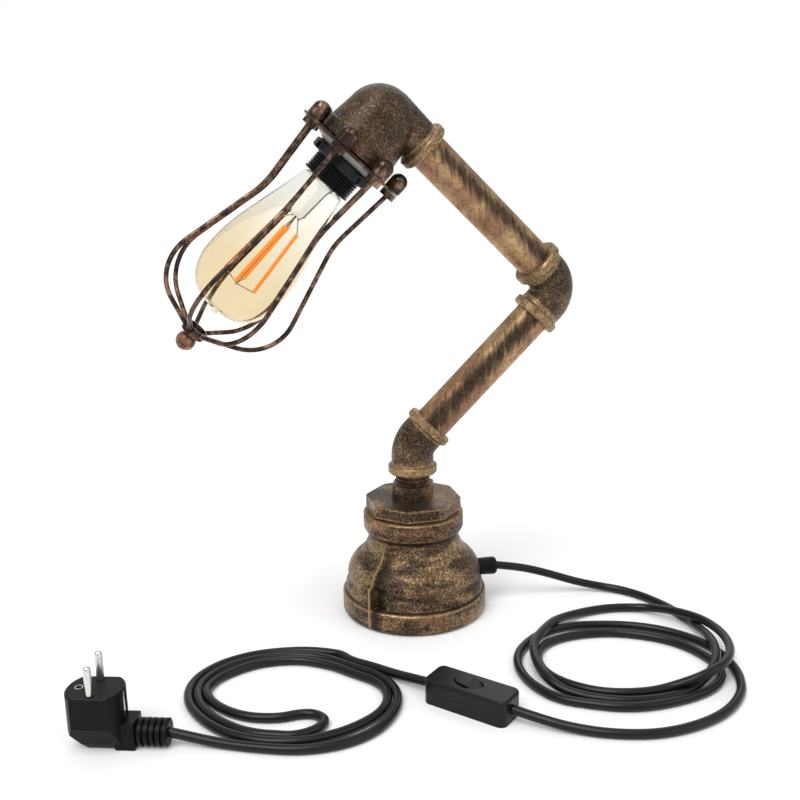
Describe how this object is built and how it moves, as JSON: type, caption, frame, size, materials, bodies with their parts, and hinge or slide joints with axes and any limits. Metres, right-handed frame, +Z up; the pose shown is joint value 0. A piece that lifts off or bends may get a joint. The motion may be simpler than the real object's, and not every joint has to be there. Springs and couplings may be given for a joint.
{
  "type": "pipe table lamp",
  "caption": "Table lamp of bronzed pipe and fittings on a cast bell base, with a bolted wire cage round a pear bulb and a coiled cord with switch and plug.",
  "frame": {"origin": "centre of the underside of the base, on the table", "axes": "+Z up, +X from the base towards the middle elbow, -Y towards the side where the cord lies"},
  "size_m": [0.4504, 0.2635, 0.3895],
  "materials": {
    "cast_bronze": "antique bronze finish over a crackled cast surface",
    "pipe_bronze": "antique bronze finish, brushed along a slant",
    "dark_bronze": "dark bronze, rubbed at the edges",
    "copper_ball": "worn copper",
    "zinc_steel": "zinc plated",
    "grey_steel": "light grey",
    "bright_brass": "bright",
    "black_moulding": "satin black",
    "black_glass": "fired black",
    "amber_glass": "clear amber",
    "clear_glass": "clear",
    "solder": "bright",
    "filament": "orange coated sticks",
    "white_nylon": "natural",
    "cord_sheath": "smooth black",
    "plug_rubber": "moulded black",
    "pad_rubber": "matt black",
    "nickel": "bright nickel"
  },
  "bodies": {
    "base": {"base_cover": "zinc_steel", "base_pad": "pad_rubber", "base_reducer": "cast_bronze", "coil_left": "cord_sheath", "coil_right": "cord_sheath", "cord_fold": "cord_sheath", "cord_from_switch": "cord_sheath", "cord_gland": "black_moulding", "cord_to_coil": "cord_sheath", "cord_to_plug": "cord_sheath", "cord_to_switch": "cord_sheath", "cover_screws": "zinc_steel", "gland_nut": "black_moulding", "hex_nipple": "cast_bronze", "octagon_bushing": "cast_bronze", "plug_body": "plug_rubber", "plug_earth_clips": "nickel", "plug_pins": "nickel", "rocker_pin": "zinc_steel", "switch_base": "black_moulding", "switch_cover": "black_moulding", "terminal_block": "white_nylon"},
    "arm_lower": {"elbow_45": "cast_bronze", "lower_pipe": "pipe_bronze"},
    "arm_upper": {"elbow_middle": "cast_bronze", "upper_pipe": "pipe_bronze"},
    "head": {"head_elbow": "cast_bronze", "cage_plate": "dark_bronze", "plate_screws": "zinc_steel", "cage_cap_nuts": "dark_bronze", "cage_lock_nuts": "dark_bronze", "cage_cup": "dark_bronze", "finial_ball": "copper_ball", "finial_screw": "zinc_steel", "lamp_holder": "black_moulding", "shade_ring": "black_moulding", "holder_dish": "grey_steel", "holder_shell": "bright_brass", "holder_contact": "bright_brass", "bulb_glass": "amber_glass", "bulb_stem": "clear_glass", "bulb_cap": "bright_brass", "bulb_insulator": "black_glass", "bulb_contact": "solder", "bulb_filaments": "filament", "bulb_support_wires": "solder", "cage_wire_1": "dark_bronze", "cage_wire_2": "dark_bronze", "cage_wire_3": "dark_bronze", "cage_wire_4": "dark_bronze", "cage_wire_5": "dark_bronze", "cage_wire_6": "dark_bronze", "cage_wire_7": "dark_bronze"},
    "rocker": {"switch_rocker": "black_moulding"}
  },
  "joints": [
    {"name": "base_swivel", "type": "hinge", "parent": "base", "child": "arm_lower", "pos_m": [0, 0, 0.1312], "axis": [0, 0, 1], "range_deg": [-90, 90]},
    {"name": "middle_swivel", "type": "hinge", "parent": "arm_lower", "child": "arm_upper", "pos_m": [0.11189, 0, 0.24585], "axis": [0.6984, 0, 0.7157], "range_deg": [-75, 60]},
    {"name": "head_swivel", "type": "hinge", "parent": "arm_upper", "child": "head", "pos_m": [-0.01668, -0.02525, 0.37131], "axis": [-0.7087, -0.1392, 0.6916], "range_deg": [-75, 75]},
    {"name": "rocker_tilt", "type": "hinge", "parent": "base", "child": "rocker", "pos_m": [0.01151, -0.15166, 0.0138], "axis": [0.6691, 0.7431, 0], "range_deg": [-16, 0]}
  ]
}
